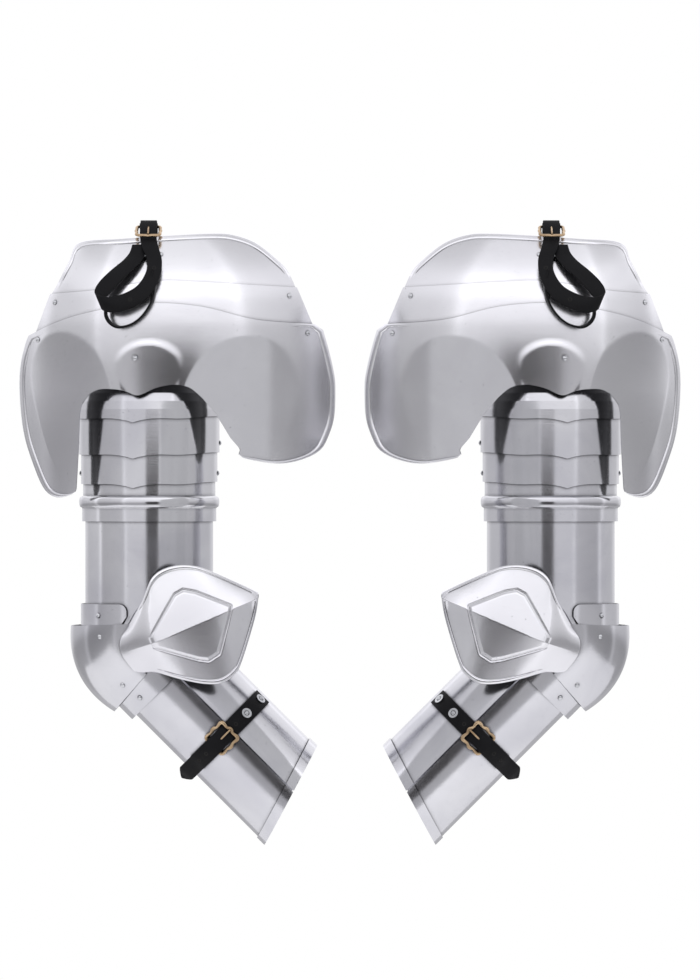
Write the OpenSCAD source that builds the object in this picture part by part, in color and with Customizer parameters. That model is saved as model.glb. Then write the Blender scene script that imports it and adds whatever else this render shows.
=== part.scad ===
// Pair of plate arm harnesses, right and left, hanging by their shoulder straps.
// Each arm: pauldron of three nested plates, three arm lames, two cannons with a
// turning joint, an elbow cop with lames and wing, and a two-shell vambrace.
// The right arm is drawn about its own axis, front towards +X, outer side towards -Y.

/* [Layout] */
// Distance from the middle of the pair to each arm's axis
arm_offset = 212.6; // [205:1:260]
// Bend of the elbow in the hanging pose
elbow_bend = 45; // [43:1:47]

/* [Plate] */
// Thickness of the steel plates
plate_t = 1.2; // [1:0.1:1.4]
// Gap between one nested pauldron plate and the next
plate_gap = 0.9; // [0.7:0.1:1.2]

/* [Pauldron] */
// How far the crown of the pauldron stands out from the arm's axis
crown_out = 92; // [90:1:98]
// How far the wings' ends sweep back behind the crown
wing_back = 82; // [75:1:86]
// Reach of the front wing from the arm's axis
front_reach = 194; // [192:1:200]
// Reach of the rear wing from the arm's axis
rear_reach = 137; // [136:1:142]
// Depth of the axis on which the nested plates slide, behind the arm's axis
slide_back = 80; // [76:1:90]
// Height of that axis below the hanging point
slide_drop = 100; // [99:1:102]
// Hidden strip of each plate under its neighbour
lap = 19; // [17:1:20]
// Height of the raised boss over the arm opening
boss_h = 6; // [3:0.5:7]

/* [Arm] */
// Outer radius of the upper cannon
upper_r = 70; // [69:0.5:71]
// Gap between one arm lame and the next
lame_gap = 1; // [1:0.1:1.3]
// Outer radius of the lower cannon
lower_r = 67.6; // [67:0.1:67.8]
// Height of the hollow bead that holds the lower cannon
bead_h = 11; // [10:0.5:14]
// How far the bead stands out from the upper cannon
bead_out = 3; // [2.8:0.1:4]
// Width of the top edge band below the bead
band_h = 15; // [10:1:18]

/* [Elbow] */
// Outer radius of the upper elbow lame
elbow_lame_r = 69.3; // [69.2:0.1:69.8]
// Back reach of the elbow cop from its bending centre
cop_reach = 128.3; // [128:0.5:131]
// Cop radius at its upper edge
cop_top_r = 72.2; // [72:0.1:73]
// Cop radius at its lower edge
cop_low_r = 63; // [62:0.5:65]
// How far the wing stands out from the arm's axis
wing_out = 90; // [86:1:100]
// Height of the wing's ridge
ridge_h = 9; // [4:1:12]

/* [Forearm] */
// Outer radius of the vambrace
fore_r = 55.5; // [54.5:0.5:56]
// Radius of the lower elbow lame
low_lame_r = 58.5; // [58.3:0.1:59]
// Length of the vambrace's back from the elbow's centre
fore_len = 230; // [215:1:245]
// Width of the raised band round the wrist
wrist_band = 11; // [8:1:14]
// Distance from the elbow's centre to the strap
strap_at = 117; // [110:1:130]

/* [Leather and fasteners] */
// Width of the straps
strap_w = 19; // [16:0.5:20]
// Thickness of the straps
strap_t = 2; // [1.8:0.1:2.1]
// Side of the square buckles
buckle_w = 28; // [27:0.5:30]
// Radius of the buckles' bars
bar_r = 1.6; // [1.4:0.1:1.7]
// Radius of the rivets' shanks
rivet_r = 1.5; // [1.3:0.1:1.6]
// Radius of the rivets' heads
head_r = 2.7; // [2.5:0.1:3]

/* [Hidden] */
$fn = 64;
STEEL = "silver";
LEATHER = "dimgray";
BRASS = "goldenrod";
step_in = plate_t + plate_gap;
slide_z = -slide_drop;
elbow_z = -444;
bend_x = 47.3;
bend_z = -408.5;
free = 0.8;
seat = 0.12;
lame_bottom_z = [-193, -231, -262];
pivot_z = [-186, -221, -253];
lame_r = [for (k = [0:2]) upper_r + (3 - k) * (plate_t + lame_gap)];
bead_z = -278;
cannon_top = pivot_z[2] + 11;
flange_r = upper_r + bead_out - plate_t - 0.6;
elbow_x = [-52, -50, -41, -38];
elbow_y = [-403, -425, -4, -26];
seam_x = 6;
seam_gap = 1.6;
knuckle_r = 2.6;
pin_r = 1.25;
hinge_y = fore_r + 1.5;
hinge_at = [-75, -185];
knuckle_h = 8;
PARTS = ["collar_plate", "collar_rivets", "pauldron_lame", "pauldron_plate",
    "pauldron_rivets", "shoulder_strap", "shoulder_chape", "shoulder_buckle",
    "shoulder_prong", "hanging_leather", "arm_lame_top", "arm_lame_middle",
    "arm_lame_bottom", "arm_rivets_upper", "arm_rivets_lower", "upper_cannon",
    "lower_cannon", "couter_upper_lame", "couter", "couter_lower_lame",
    "upper_elbow_rivets", "couter_rivets", "vambrace_rear_shell",
    "vambrace_rear_rivets", "vambrace_front_shell", "vambrace_front_rivets",
    "vambrace_strap", "vambrace_chape", "vambrace_buckle", "vambrace_prong"];
SIDES = ["right", "left"];

// Paths

// Smooth curve through every point of a list, in any number of dimensions.
function curve(p, n) = [
    for (i = [0:len(p) - 2])
        let (a = p[max(i - 1, 0)], b = p[i], c = p[i + 1], d = p[min(i + 2, len(p) - 1)])
            for (k = [0:n - 1])
                let (t = k / n)
                    (2 * b + (c - a) * t + (2 * a - 5 * b + 4 * c - d) * t * t
                        + (3 * b - 3 * c + d - a) * t * t * t) / 2,
    p[len(p) - 1]];
function run(p, i = 0, s = 0) =
    i == len(p) - 1 ? [s] : concat([s], run(p, i + 1, s + norm(p[i + 1] - p[i])));
function at(p, r, s, i = 0) =
    i == len(p) - 2 || s <= r[i + 1]
        ? p[i] + (p[i + 1] - p[i]) * (s - r[i]) / (r[i + 1] - r[i])
        : at(p, r, s, i + 1);
// The same line with n even steps along its length.
function even(p, n) = let (r = run(p), l = r[len(r) - 1]) [for (k = [0:n]) at(p, r, l * k / n)];
function tail(p) = [for (i = [1:len(p) - 1]) p[i]];
// Outline of a strip of thickness t whose middle follows the points.
function strip(p, t) =
    let (n = len(p),
        side = [for (i = [0:n - 1])
            let (d = p[min(i + 1, n - 1)] - p[max(i - 1, 0)]) [-d[1], d[0]] / norm(d) * t / 2])
    concat([for (i = [0:n - 1]) p[i] + side[i]], [for (i = [n - 1:-1:0]) p[i] - side[i]]);

// Solid between an outer and an inner grid of points of the same size.
module plate(outer, inner) {
    n = len(outer);
    m = len(outer[0]);
    o = n * m;
    function quad(a, b, c, d) = [[a, c, b], [a, d, c]];
    faces = [
        for (i = [0:n - 2]) for (j = [0:m - 2])
            for (f = quad(i * m + j, (i + 1) * m + j, (i + 1) * m + j + 1, i * m + j + 1)) f,
        for (i = [0:n - 2]) for (j = [0:m - 2])
            for (f = quad(o + i * m + j, o + i * m + j + 1, o + (i + 1) * m + j + 1,
                o + (i + 1) * m + j)) f,
        for (i = [0:n - 2]) for (f = quad(i * m, o + i * m, o + (i + 1) * m, (i + 1) * m)) f,
        for (i = [0:n - 2])
            for (f = quad(i * m + m - 1, (i + 1) * m + m - 1, o + (i + 1) * m + m - 1,
                o + i * m + m - 1)) f,
        for (j = [0:m - 2]) for (f = quad(j, j + 1, o + j + 1, o + j)) f,
        for (j = [0:m - 2])
            for (f = quad(o - m + j, 2 * o - m + j, 2 * o - m + j + 1, o - m + j + 1)) f];
    polyhedron(points = concat([for (r = outer) each r], [for (r = inner) each r]), faces = faces);
}

// Rivet along +Z: its head sits on z = 0 and its washer under the plates at z = -grip.
module rivet(grip, washer_r = 3.6) {
    head_h = 1.9;
    rotate_extrude()
        polygon(concat(
            [[0, -grip - 1], [washer_r, -grip - 1], [washer_r, -grip], [rivet_r, -grip],
                [rivet_r, seat], [head_r, seat]],
            [for (a = [15:15:75]) [head_r * cos(a), seat + head_h * sin(a)]],
            [[0, seat + head_h]]));
}
module hole(r) {
    translate([0, 0, -12])
        cylinder(r = r, h = 24);
}

// Pauldron surface

function reach(x) = x > 0 ? front_reach : rear_reach;
function crown_y(x) = -crown_out + wing_back * pow(abs(x) / reach(x), 2.5);
function boss(x, z) =
    let (q = pow((x - 2) / 36, 2) + pow((z + 141) / 27, 2)) q < 1 ? boss_h * (1 - q) : 0;
// Depth of the pauldron's outer surface: round the slide axis above it, fuller below.
function skin_y(x, z) =
    let (h = z - slide_z)
        h > 0 ? slide_back - sqrt(pow(slide_back - crown_y(x), 2) - h * h)
            : crown_y(x) + 0.0009 * h * h - boss(x, z);
function skin_n(x, z) =
    let (e = 0.5, n = [(skin_y(x + e, z) - skin_y(x - e, z)) / (2 * e), -1,
        (skin_y(x, z + e) - skin_y(x, z - e)) / (2 * e)]) n / norm(n);
function skin(p, d) = [p[0], skin_y(p[0], p[1]), p[1]] - skin_n(p[0], p[1]) * d;
module skin_sheet(low, high, rows, depth) {
    grid = [for (i = [0:len(low) - 1]) [for (j = [0:rows]) low[i] + (high[i] - low[i]) * j / rows]];
    plate([for (r = grid) [for (p = r) skin(p, depth)]],
        [for (r = grid) [for (p = r) skin(p, depth + plate_t)]]);
}
module on_skin(p, depth) {
    n = skin_n(p[0], p[1]);
    translate(skin(p, depth))
        rotate([0, acos(n[2]), atan2(n[1], n[0])])
            children();
}
module slot_on_skin(p, depth, travel) {
    for (k = [-1:0.5:1])
        on_skin([p[0], p[1] + k * travel], depth)
            hole(rivet_r + free);
}
lame_rivets = [[150, -66], [-99, -73.3]];
main_rivets = [[168, -105.5], [-116, -112.5]];
centre_rivet = [-12, -133];
slide_travel = 5.5;
collar_top = [[-104.5, -64], [-98, -53], [-84.5, -27.3], [-74, -8.4], [-29, -4.8], [17.3, -1.6],
    [67.7, 1.2], [90.8, 0], [115, -8.4], [138, -26.3], [149.6, -38.9], [158, -56.7]];
seam_upper = [[-104.5, -64], [-54, -60.9], [8.9, -51.5], [51, -52], [102, -54.6], [158, -56.7]];
seam_lower = [[-126.5, -108], [-98.2, -95.6], [-61.4, -85], [-2.6, -75.6], [56, -78.8],
    [115, -92.4], [180, -96]];
function drop(p, h) = [for (q = p) [q[0], q[1] - h]];

module collar_plate() {
    color(STEEL)
        difference() {
            skin_sheet(drop(even(curve(seam_upper, 4), 22), lap), even(curve(collar_top, 3), 22),
                5, 2 * step_in);
            for (p = lame_rivets)
                slot_on_skin(p, 2 * step_in, slide_travel);
            for (p = strap_rivets)
                on_skin(p, 2 * step_in)
                    hole(rivet_r + 0.1);
        }
}
strap_rivets = [[-3, -22], [14, -22]];
module collar_rivets() {
    color(STEEL)
        for (p = strap_rivets)
            on_skin(p, 2 * step_in)
                rivet(plate_t + strap_t + 3.3);
}
// The lame and the rivets at its ends, which slide in the collar plate's slots.
module pauldron_lame() {
    color(STEEL) {
        difference() {
            skin_sheet(drop(even(curve(seam_lower, 4), 22), lap), even(curve(seam_upper, 4), 22),
                4, step_in);
            for (p = main_rivets)
                slot_on_skin(p, step_in, slide_travel);
            for (p = lame_rivets)
                on_skin(p, step_in)
                    hole(rivet_r + 0.1);
        }
        for (p = lame_rivets)
            on_skin(p, step_in)
                rivet(step_in + plate_t + free, 3.4);
    }
}
rim = [[97, -234.2], [103.4, -238.4], [136, -243.1], [161.2, -238.9], [181.1, -228.4],
    [190.6, -211], [195.8, -192.2], [196.9, -165.9], [195.8, -149.1], [190.2, -123.9], [184, -102]];
rear_rim = [[-126.5, -108], [-130.7, -118.7], [-136, -144.9], [-136, -177.5], [-131.8, -212.1],
    [-122.3, -242.6], [-110.8, -268.8], [-98.2, -278.3], [-84.5, -277.2], [-77, -273]];
arch_front = [[98.8, -229], [88.7, -217.4], [82.4, -206.9], [73, -191.7], [58.3, -174.9]];
arch_top = [[58.3, -174.9], [44.6, -163.8], [27.8, -160.7], [8.9, -164.4], [-8.9, -171.9],
    [-21.5, -168], [-33.1, -165.6], [-49.9, -165.6], [-61.4, -170.1]];
arch_rear = [[-61.4, -170.1], [-70.9, -181.7], [-73, -191], [-74, -223.7], [-76, -270]];
function back(p) = [for (i = [len(p) - 1:-1:0]) p[i]];
module pauldron_plate() {
    inner = concat(even(arch_front, 9), tail(even(curve(arch_top, 3), 18)), tail(even(arch_rear, 9)));
    outer = concat(even(curve(rim, 3), 9), tail(even(back(curve(seam_lower, 4)), 18)),
        tail(even(curve(rear_rim, 3), 9)));
    color(STEEL)
        difference() {
            skin_sheet(back(inner), back(outer), 9, 0);
            for (p = main_rivets)
                on_skin(p, 0)
                    hole(rivet_r + 0.1);
            on_skin(centre_rivet, 0)
                hole(rivet_r + 0.1);
        }
}
// Two end rivets slide in the lame's slots, and the centre rivet holds the hanging leather.
module pauldron_rivets() {
    color(STEEL) {
        for (p = main_rivets)
            on_skin(p, 0)
                rivet(step_in + plate_t + free, 3.4);
        on_skin(centre_rivet, 0)
            rivet(plate_t + strap_t / 2 + 7.5, 4.4);
    }
}

// Shoulder strap and buckle

// Depth of the pauldron's surface at the collar's top edge, from which the strap is placed.
shoulder_y = skin_y(1, -4);
buckle_pos = [1, shoulder_y + 0.7, 1];
buckle_tilt = 24;
// A route of middle points, each with the direction across the strap. Depths count from the
// collar's top edge.
strap_route = [
    [1, 24.7, 3, 1, 0, 0], [1, 19.2, 10.5, 1, 0, 0],
    [1, 12.2, 11.4, 1, 0, 0], [1, 4.7, 6.2, 1, 0, 0],
    [1, -2.8, -2.4, 1, 0, 0], [1.5, -8.9, -9, 1, -0.05, 0],
    [4, -16.8, -18, 1, -0.15, 0], [8, -24.3, -31, 0.9, -0.3, -0.2],
    [6, -35.3, -48, 0.7, -0.3, -0.5], [-6, -47.3, -66, 0.5, -0.2, -0.8],
    [-28, -53.3, -77, 0.35, -0.1, -0.9], [-44, -49.3, -77, 0.3, 0, -0.9],
    [-50, -42.3, -71, 0.4, -0.1, -0.85], [-44, -37.3, -60, 0.6, -0.3, -0.7],
    [-31, -31.3, -46, 0.8, -0.3, -0.4], [-17, -22.3, -33, 0.95, -0.15, -0.2],
    [-10, -14.3, -23, 1, 0, 0], [-7, -9.9, -14, 1, 0, 0]];
module shoulder_strap() {
    line = curve(strap_route, 2);
    n = len(line);
    middle = [for (q = line) [q[0], q[1] + shoulder_y, q[2]]];
    across = [for (q = line) let (w = [q[3], q[4], q[5]]) w / norm(w)];
    along = [for (i = [0:n - 1]) middle[min(i + 1, n - 1)] - middle[max(i - 1, 0)]];
    face = [for (i = [0:n - 1]) let (c = cross(along[i], across[i])) c / norm(c)];
    half = strap_w / 2 - 0.8;
    color(LEATHER)
        difference() {
            plate([for (i = [0:n - 1]) [for (s = [-1, 1])
                    middle[i] + across[i] * half * s + face[i] * strap_t / 2]],
                [for (i = [0:n - 1]) [for (s = [-1, 1])
                    middle[i] + across[i] * half * s - face[i] * strap_t / 2]]);
            at_shoulder_buckle()
                translate([-2.1, -16.5, -5])
                    cube([4.2, 28, 14]);
        }
}
// Frame lying in the XY plane: its hinge bar is on the -Y side.
module buckle_frame() {
    d = buckle_w / 2 - bar_r;
    for (s = [-1, 1]) {
        translate([-d, s * d, 0])
            rotate([0, 90, 0])
                cylinder(r = bar_r, h = 2 * d);
        translate([s * d, -d, 0])
            rotate([-90, 0, 0])
                cylinder(r = bar_r, h = 2 * d);
        for (t = [-1, 1])
            translate([s * d, t * d, 0])
                sphere(r = bar_r);
    }
}
module buckle_prong() {
    d = buckle_w / 2 - bar_r;
    eye = bar_r + 1.3;
    difference() {
        union() {
            translate([-1.5, -d, 0])
                rotate([0, 90, 0])
                    cylinder(r = eye, h = 3);
            translate([0, -d, bar_r + 0.3])
                rotate([-90, 0, 0])
                    rotate([0, 0, 22.5])
                        cylinder(r = 1.1, h = 2 * d + 1.5);
        }
        translate([-5, -d, 0])
            rotate([0, 90, 0])
                cylinder(r = bar_r + 0.08, h = 10);
        translate([0, d, 0])
            rotate([0, 90, 0])
                cylinder(r = bar_r + 0.12, h = 10, center = true);
    }
}
module at_shoulder_buckle() {
    translate(buckle_pos)
        rotate([buckle_tilt, 0, 0])
            rotate([0, 0, 180])
                children();
}
module shoulder_buckle() {
    color(BRASS)
        at_shoulder_buckle()
            buckle_frame();
}
module shoulder_prong() {
    color(BRASS)
        at_shoulder_buckle()
            buckle_prong();
}

// Arm lames and cannons

module around(x) {
    for (s = [-1, 1])
        translate([s * x, 0, 0])
            rotate([0, s * 90, 0])
                children();
}
// Wall turned about the arm's axis, its top drawn in on a sphere round its upper pivot.
module drawn_tube(r, low, top, pivot) {
    rise = [for (k = [0:4]) (top - pivot) * k / 4];
    rotate_extrude()
        polygon(concat([[r, low]], [for (h = rise) [sqrt(r * r - h * h), pivot + h]],
            [for (k = [4:-1:0]) [sqrt(r * r - rise[k] * rise[k]) - plate_t, pivot + rise[k]]],
            [[r - plate_t, low]]));
}
cusp_x = -15;
// Block that cuts a lower edge at height z, leaving a point down at the cusp.
module below_edge(z, dip) {
    edge = [for (x = [-90:7.5:90])
        [x, z - dip * pow(max(0, 1 - abs(x - cusp_x) / 36), 1.7) - 3 * pow(sin(x * 2 + 30), 2)]];
    rotate([90, 0, 0])
        linear_extrude(height = 220, center = true)
            polygon(concat(edge, [[90, z - 60], [-90, z - 60]]));
}
module arm_lame(k) {
    top = k == 0 ? pivot_z[0] + 34 : pivot_z[k - 1] + 11;
    color(STEEL)
        difference() {
            drawn_tube(lame_r[k], lame_bottom_z[k] - 12, top, k == 0 ? pivot_z[0] : pivot_z[k - 1]);
            translate([-100, 30, -400])
                cube([200, 100, 300]);
            below_edge(lame_bottom_z[k], 7);
            for (i = [0:2])
                if (i == k || i == k - 1)
                    translate([0, 0, pivot_z[i]])
                        around(lame_r[k])
                            hole(i == k ? rivet_r + 0.1 : rivet_r + free);
            if (k == 0)
                for (x = leather_rivet_x)
                    translate([x, leather_low_y, leather_rivet_z])
                        rotate([90, 0, 0])
                            hole(rivet_r + 0.15);
        }
}
module arm_lame_top() {
    arm_lame(0);
}
module arm_lame_middle() {
    arm_lame(1);
}
module arm_lame_bottom() {
    arm_lame(2);
}
leather_rivet_x = [-20, -4];
leather_rivet_z = -160;
// Distances of the hanging leather behind the boss and in front of the top lame.
leather_top_y = skin_y(centre_rivet[0], centre_rivet[1]) + plate_t + 6;
leather_low_y = 2.2 - lame_r[0];
lame_grip = 2 * plate_t + lame_gap + 0.4;
module lame_rivet_pair(k) {
    translate([0, 0, pivot_z[k]])
        around(lame_r[k])
            rivet(lame_grip, 3.2);
}
module arm_rivets_upper() {
    color(STEEL) {
        lame_rivet_pair(0);
        for (x = leather_rivet_x)
            translate([x, leather_low_y - strap_t / 2 - 1.4, leather_rivet_z])
                rotate([90, 0, 0])
                    rivet(strap_t + plate_t + 7.2, 2.6);
    }
}
module arm_rivets_lower() {
    color(STEEL)
        for (k = [1, 2])
            lame_rivet_pair(k);
}
module hanging_leather() {
    path = [[leather_top_y, -124], [leather_top_y, -138], [leather_low_y, -153],
        [leather_low_y - 1.8, -167]];
    color(LEATHER)
        difference() {
            translate([-12, 0, 0])
                rotate([90, 0, 90])
                    linear_extrude(height = 26, center = true)
                        polygon(strip(path, strap_t));
            translate([centre_rivet[0], leather_top_y, centre_rivet[1]])
                rotate([90, 0, 0])
                    hole(rivet_r + 1.7);
            for (x = leather_rivet_x)
                translate([x, leather_low_y, leather_rivet_z])
                    rotate([90, 0, 0])
                        hole(rivet_r + 0.15);
        }
}
module upper_cannon() {
    bead_r = upper_r + bead_out;
    band_r = upper_r + 1;
    inner_bead = bead_r - plate_t;
    foot = bead_z - bead_h;
    color(STEEL)
        difference() {
            union() {
                drawn_tube(upper_r, bead_z, cannon_top, pivot_z[2]);
                rotate_extrude()
                    polygon([[upper_r - plate_t, bead_z + plate_t], [upper_r, bead_z + plate_t],
                        [bead_r - 1, bead_z], [bead_r, bead_z - 2], [bead_r, foot + 2],
                        [bead_r - 1, foot], [band_r, foot - plate_t], [band_r, foot - band_h],
                        [band_r - plate_t, foot - band_h], [band_r - plate_t, foot],
                        [inner_bead, foot + plate_t], [inner_bead, bead_z - plate_t],
                        [upper_r - plate_t, bead_z - plate_t]]);
            }
            translate([0, 0, pivot_z[2]])
                around(upper_r)
                    hole(rivet_r + free);
        }
}
elbow_cut = [[-90, -416], [-12, -416], [70, -364], [90, -364], [90, -520], [-90, -520]];
module along_y(h = 220) {
    rotate([90, 0, 0])
        linear_extrude(height = h, center = true)
            children();
}
// Turns children to stand out square from a round wall of radius r at place x, on both sides.
module on_wall(x, r, centre = 0) {
    a = acos((centre - x) / r);
    for (s = [-1, 1])
        translate([x, s * r * sin(a), 0])
            rotate([0, 90, s * (180 - a)])
                children();
}
module lower_cannon() {
    flange_z = bead_z - bead_h / 2;
    color(STEEL)
        difference() {
            rotate_extrude()
                polygon([[lower_r - plate_t, -420], [lower_r, -420], [lower_r, flange_z - plate_t],
                    [flange_r, flange_z - plate_t], [flange_r, flange_z],
                    [lower_r - plate_t, flange_z]]);
            along_y()
                polygon(elbow_cut);
            translate([0, 0, elbow_y[0]])
                on_wall(elbow_x[0], elbow_lame_r, elbow_shift)
                    hole(rivet_r + free);
        }
}

// Elbow

elbow_shift = -3;
module couter_upper_lame() {
    top = -391;
    front = -22;
    corner = 8;
    color(STEEL)
        difference() {
            translate([elbow_shift, 0, 0])
                difference() {
                    translate([0, 0, top - 46])
                        cylinder(r = elbow_lame_r, h = 46);
                    translate([0, 0, top - 50])
                        cylinder(r = elbow_lame_r - plate_t, h = 60);
                }
            along_y()
                translate([front, -500])
                    square([150, 200]);
            along_y()
                translate([front - corner, top - corner])
                    difference() {
                        square(2 * corner);
                        circle(r = corner);
                    }
            translate([0, 0, elbow_y[0]])
                on_wall(elbow_x[0], elbow_lame_r, elbow_shift)
                    hole(rivet_r + 0.1);
            along_y()
                polygon([[front, -404], [front - 22, -437], [front - 22, -450], [front, -450]]);
            couter_places([1])
                hole(rivet_r + free);
        }
}
cop_start = 2.5;
cop_end = 49;
cop_side = 82;
function cop_r(a) = cop_top_r + (cop_low_r - cop_top_r) * (a - cop_start) / (cop_end - cop_start);
// Point of the cop's wall: a turns about the bending centre, b goes round the section.
function cop_point(a, b, d) =
    let (r = cop_r(a), q = cop_reach - r + (r - d) * cos(b))
        [bend_x - q * cos(a), -(r - d) * sin(b), bend_z - q * sin(a)];
wing_top = [[-20, -411], [-14, -400], [-4.7, -385.4], [5.8, -362.3], [21.5, -351.8], [43.6, -349.2],
    [67.7, -356], [112, -376]];
wing_low = [[-14, -461], [-6, -462.5], [8.9, -462], [33, -468.3], [59.3, -473.6], [78.2, -473],
    [91.9, -464], [99.2, -451], [112.9, -406], [117, -386]];
// Outer surface of the wing: rises out of the cop's side, then runs to a ridge and a tip.
function wing_point(low, high, s, t, d) =
    let (p = low + (high - low) * t,
        rise = sin(90 * min(1, s / 0.2)),
        edge = 1 - pow(abs(2 * t - 1), 1.3),
        lift = wing_out - 69 + ridge_h * edge * sin(min(90, 260 * s)) - 10 * s * s)
    [p[0], -67.5 - rise * lift + d, p[1]];
module couter() {
    rows = 12;
    cols = 24;
    n = 18;
    low = even(curve(wing_low, 3), n);
    high = even(curve(wing_top, 3), n);
    color(STEEL)
        difference() {
            union() {
                plate([for (i = [0:rows]) [for (j = [-cols / 2:cols / 2])
                        cop_point(cop_start + (cop_end - cop_start) * i / rows,
                            cop_side * 2 * j / cols, 0)]],
                    [for (i = [0:rows]) [for (j = [-cols / 2:cols / 2])
                        cop_point(cop_start + (cop_end - cop_start) * i / rows,
                            cop_side * 2 * j / cols, plate_t)]]);
                plate([for (i = [0:n]) [for (j = [0:8])
                        wing_point(low[i], high[i], i / n, j / 8, 0)]],
                    [for (i = [0:n]) [for (j = [0:8])
                        wing_point(low[i], high[i], i / n, j / 8, 1.6)]]);
            }
            couter_places([1, 2])
                hole(rivet_r + 0.1);
        }
}
function cop_depth(k) =
    let (p = k == 1 ? [elbow_x[1] - bend_x, elbow_y[1] - bend_z] : in_arm(elbow_x[2], elbow_y[2]),
        a = atan2(-p[1], -p[0]), r = cop_r(a), c = (norm(p) - (cop_reach - r)) / r) [r, acos(c), a];
function in_arm(x, z) = [
    x * cos(elbow_bend) - z * sin(elbow_bend) - bend_x,
    x * sin(elbow_bend) + z * cos(elbow_bend) + elbow_z - bend_z];
// Places of the rivets that carry the elbow lames on the cop, square to its wall.
module couter_places(pivots) {
    for (k = pivots) {
        c = cop_depth(k);
        for (s = [-1, 1])
            translate(cop_point(c[2], s * c[1], 0))
                rotate([0, -c[2], 0])
                    rotate([0, 0, 180 + s * c[1]])
                        rotate([0, 90, 0])
                            children();
    }
}
module couter_rivets() {
    color(STEEL)
        couter_places([1, 2])
            rivet(plate_t + 7.4, 3);
}
module upper_elbow_rivets() {
    color(STEEL)
        translate([0, 0, elbow_y[0]])
            on_wall(elbow_x[0], elbow_lame_r, elbow_shift)
                rivet(2 * plate_t + 3.6, 3);
}

// Forearm, drawn upright about its own axis and then bent forward

module forearm() {
    translate([0, 0, elbow_z])
        rotate([0, -elbow_bend, 0])
            children();
}
low_shift = -3.5;
module couter_lower_lame() {
    color(STEEL)
        difference() {
            forearm()
                difference() {
                    translate([low_shift, 0, -36.5])
                        difference() {
                            cylinder(r = low_lame_r, h = 41);
                            translate([0, 0, -5])
                                cylinder(r = low_lame_r - plate_t, h = 60);
                        }
                    translate([0, -100, -100])
                        cube([200, 200, 200]);
                    translate([0, 0, elbow_y[3]])
                        on_wall(elbow_x[3], low_lame_r, low_shift)
                            hole(rivet_r + free + 0.35);
                }
            couter_places([2])
                hole(rivet_r + free);
        }
}
wrist_tilt = 17;
wrist_z = -fore_len + 18;
// The space beyond a slanted plane across the wrist, moved up by h.
module beyond_wrist(h) {
    translate([0, 0, wrist_z + h])
        rotate([0, -wrist_tilt, 0])
            translate([-120, -120, -150])
                cube([240, 240, 150]);
}
module fore_tube(r, top) {
    difference() {
        translate([0, 0, -fore_len - 30])
            cylinder(r = r, h = fore_len + 30 + top);
        translate([0, 0, -fore_len - 40])
            cylinder(r = fore_r - plate_t, h = fore_len + 80);
        beyond_wrist(0);
    }
}
module fore_wall(top) {
    fore_tube(fore_r, top);
    intersection() {
        fore_tube(fore_r + 1.6, top);
        beyond_wrist(wrist_band);
    }
}
module knuckles(ends, r) {
    for (z = hinge_at)
        for (k = ends ? [-1, 1] : [0])
            translate([seam_x + seam_gap / 2, hinge_y, z + k * (knuckle_h + 0.3) - knuckle_h / 2])
                cylinder(r = r, h = knuckle_h);
}
module knuckle_clearance(ends) {
    for (z = hinge_at)
        for (k = ends ? [-1, 1] : [0])
            translate([seam_x + seam_gap / 2, hinge_y,
                    z + k * (knuckle_h + 0.3) - knuckle_h / 2 - 0.3])
                cylinder(r = knuckle_r + 0.5, h = knuckle_h + 0.6);
}
module pin_bores() {
    for (z = hinge_at)
        translate([seam_x + seam_gap / 2, hinge_y, z - 20])
            cylinder(r = pin_r + 0.05, h = 40);
}
module vambrace_rear_shell() {
    color(STEEL)
        forearm()
            difference() {
                union() {
                    difference() {
                        fore_wall(-14);
                        translate([seam_x, -100, -300])
                            cube([200, 200, 400]);
                        knuckle_clearance(false);
                    }
                    knuckles(true, knuckle_r);
                }
                pin_bores();
                translate([0, 0, elbow_y[3]])
                    on_wall(elbow_x[3], low_lame_r, low_shift)
                        hole(rivet_r + 0.15);
                on_fore(chape_rivet_a, 0)
                    hole(rivet_r + 0.15);
            }
}
chape_rivet_a = -44;
washer_a = [60, 31];
washer_ring_r = 5.4;
// Stands children square on the forearm's outside, a degrees towards the front.
module on_fore(a, h) {
    translate([(fore_r + h) * sin(a), -(fore_r + h) * cos(a), -strap_at])
        rotate([90, 0, a])
            children();
}
module vambrace_rear_rivets() {
    color(STEEL)
        forearm() {
            translate([0, 0, elbow_y[3]])
                on_wall(elbow_x[3], low_lame_r, low_shift)
                    rivet(2 * plate_t + 4.6, 3);
            on_fore(chape_rivet_a, strap_t)
                rivet(strap_t + plate_t + 0.6);
            for (z = hinge_at)
                translate([seam_x + seam_gap / 2, hinge_y, z - 13.5])
                    cylinder(r = pin_r, h = 27);
        }
}
module vambrace_front_shell() {
    color(STEEL)
        forearm()
            difference() {
                union() {
                    difference() {
                        fore_wall(-38);
                        translate([seam_x + seam_gap - 200, -100, -300])
                            cube([200, 200, 400]);
                        translate([seam_x, 0, -38])
                            rotate([0, 33, 0])
                                translate([-20, -100, 0])
                                    cube([200, 200, 100]);
                        knuckle_clearance(true);
                    }
                    knuckles(false, knuckle_r);
                }
                pin_bores();
                for (a = washer_a)
                    on_fore(a, 0)
                        hole(rivet_r + 0.1);
            }
}
// Riveted washers that hold the strap to the front shell.
module vambrace_front_rivets() {
    color(STEEL)
        forearm()
            for (a = washer_a)
                on_fore(a, strap_t + 0.4) {
                    rivet(strap_t + 0.4 + plate_t + 0.6, 4);
                    difference() {
                        cylinder(r = washer_ring_r, h = 1);
                        translate([0, 0, -1])
                            cylinder(r = head_r + 0.2, h = 4);
                    }
                }
}

// Vambrace strap and buckle

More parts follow.
